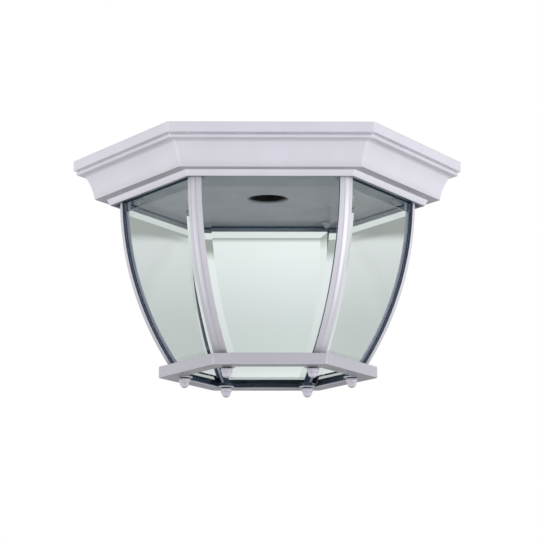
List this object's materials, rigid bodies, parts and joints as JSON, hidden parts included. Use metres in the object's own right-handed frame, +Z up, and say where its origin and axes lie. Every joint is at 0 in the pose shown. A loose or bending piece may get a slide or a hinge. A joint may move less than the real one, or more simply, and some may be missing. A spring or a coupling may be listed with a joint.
{
  "type": "outdoor ceiling light",
  "caption": "Hexagonal flush ceiling light for outdoors: a moulded crown over a tapering cage of bent, bevelled clear glass, open below, its bottom ring held by ball nuts.",
  "frame": {"origin": "middle of the ceiling plane, where the crown's rim and the mounting bar meet the ceiling", "axes": "+Z up into the ceiling, -Y towards the front pane, +X to the right, through two opposite corners of the hexagon"},
  "size_m": [0.3048, 0.2664, 0.1795],
  "materials": {
    "white_paint": "satin white paint on cast metal",
    "deck_paint": "flat white paint on sheet steel",
    "clear_glass": "clear, bent, with a polished bevel",
    "strip_paint": "white paint, dark blue-black along the seal",
    "zinc_steel": "bright zinc plate",
    "holder_resin": "dark moulded resin",
    "brass": "plain brass",
    "block_plastic": "white moulded plastic",
    "lead_black": "black insulation",
    "lead_white": "white insulation",
    "lead_green": "green insulation"
  },
  "bodies": {
    "light": {"crown": "white_paint", "mounting_bar": "zinc_steel", "locking_screw": "white_paint", "deck": "deck_paint", "deck_studs": "zinc_steel", "deck_nuts": "zinc_steel", "holder_body": "holder_resin", "screw_shell": "brass", "live_terminal": "brass", "neutral_terminal": "brass", "terminal_screws": "zinc_steel", "terminal_block": "block_plastic", "block_sleeves": "brass", "block_screws": "zinc_steel", "lead_live": "lead_black", "lead_neutral": "lead_white", "lead_earth": "lead_green", "rib_screws": "deck_paint", "ring_studs": "zinc_steel", "bottom_ring": "white_paint", "rib_right": "white_paint", "rib_back_right": "white_paint", "rib_back_left": "white_paint", "rib_left": "white_paint", "rib_front_left": "white_paint", "rib_front_right": "white_paint", "glass_back_right": "clear_glass", "glass_back": "clear_glass", "glass_back_left": "clear_glass", "glass_front_left": "clear_glass", "glass_front": "clear_glass", "glass_front_right": "clear_glass", "glazing_strip_right": "strip_paint", "glazing_strip_back_right": "strip_paint", "glazing_strip_back_left": "strip_paint", "glazing_strip_left": "strip_paint", "glazing_strip_front_left": "strip_paint", "glazing_strip_front_right": "strip_paint"},
    "contact": {"centre_contact": "brass"},
    "nut_right": {"ball_nut_right": "white_paint"},
    "nut_back_right": {"ball_nut_back_right": "white_paint"},
    "nut_back_left": {"ball_nut_back_left": "white_paint"},
    "nut_left": {"ball_nut_left": "white_paint"},
    "nut_front_left": {"ball_nut_front_left": "white_paint"},
    "nut_front_right": {"ball_nut_front_right": "white_paint"}
  },
  "joints": [
    {"name": "unscrew_nut_right", "type": "hinge", "parent": "light", "child": "nut_right", "pos_m": [0.06478, 0, -0.1716], "axis": [0, 0, -1], "range_deg": [0, 2880]},
    {"name": "unscrew_nut_back_right", "type": "hinge", "parent": "light", "child": "nut_back_right", "pos_m": [0.03239, 0.0561, -0.1716], "axis": [0, 0, -1], "range_deg": [0, 2880]},
    {"name": "unscrew_nut_back_left", "type": "hinge", "parent": "light", "child": "nut_back_left", "pos_m": [-0.03239, 0.0561, -0.1716], "axis": [0, 0, -1], "range_deg": [0, 2880]},
    {"name": "unscrew_nut_left", "type": "hinge", "parent": "light", "child": "nut_left", "pos_m": [-0.06478, 0, -0.1716], "axis": [0, 0, -1], "range_deg": [0, 2880]},
    {"name": "unscrew_nut_front_left", "type": "hinge", "parent": "light", "child": "nut_front_left", "pos_m": [-0.03239, -0.0561, -0.1716], "axis": [0, 0, -1], "range_deg": [0, 2880]},
    {"name": "unscrew_nut_front_right", "type": "hinge", "parent": "light", "child": "nut_front_right", "pos_m": [0.03239, -0.0561, -0.1716], "axis": [0, 0, -1], "range_deg": [0, 2880]},
    {"name": "press_contact", "type": "hinge", "parent": "light", "child": "contact", "pos_m": [0.0099, 0, -0.00715], "axis": [0, 1, 0], "range_deg": [0, 7], "stiffness_Nm_per_rad": 0.4}
  ]
}
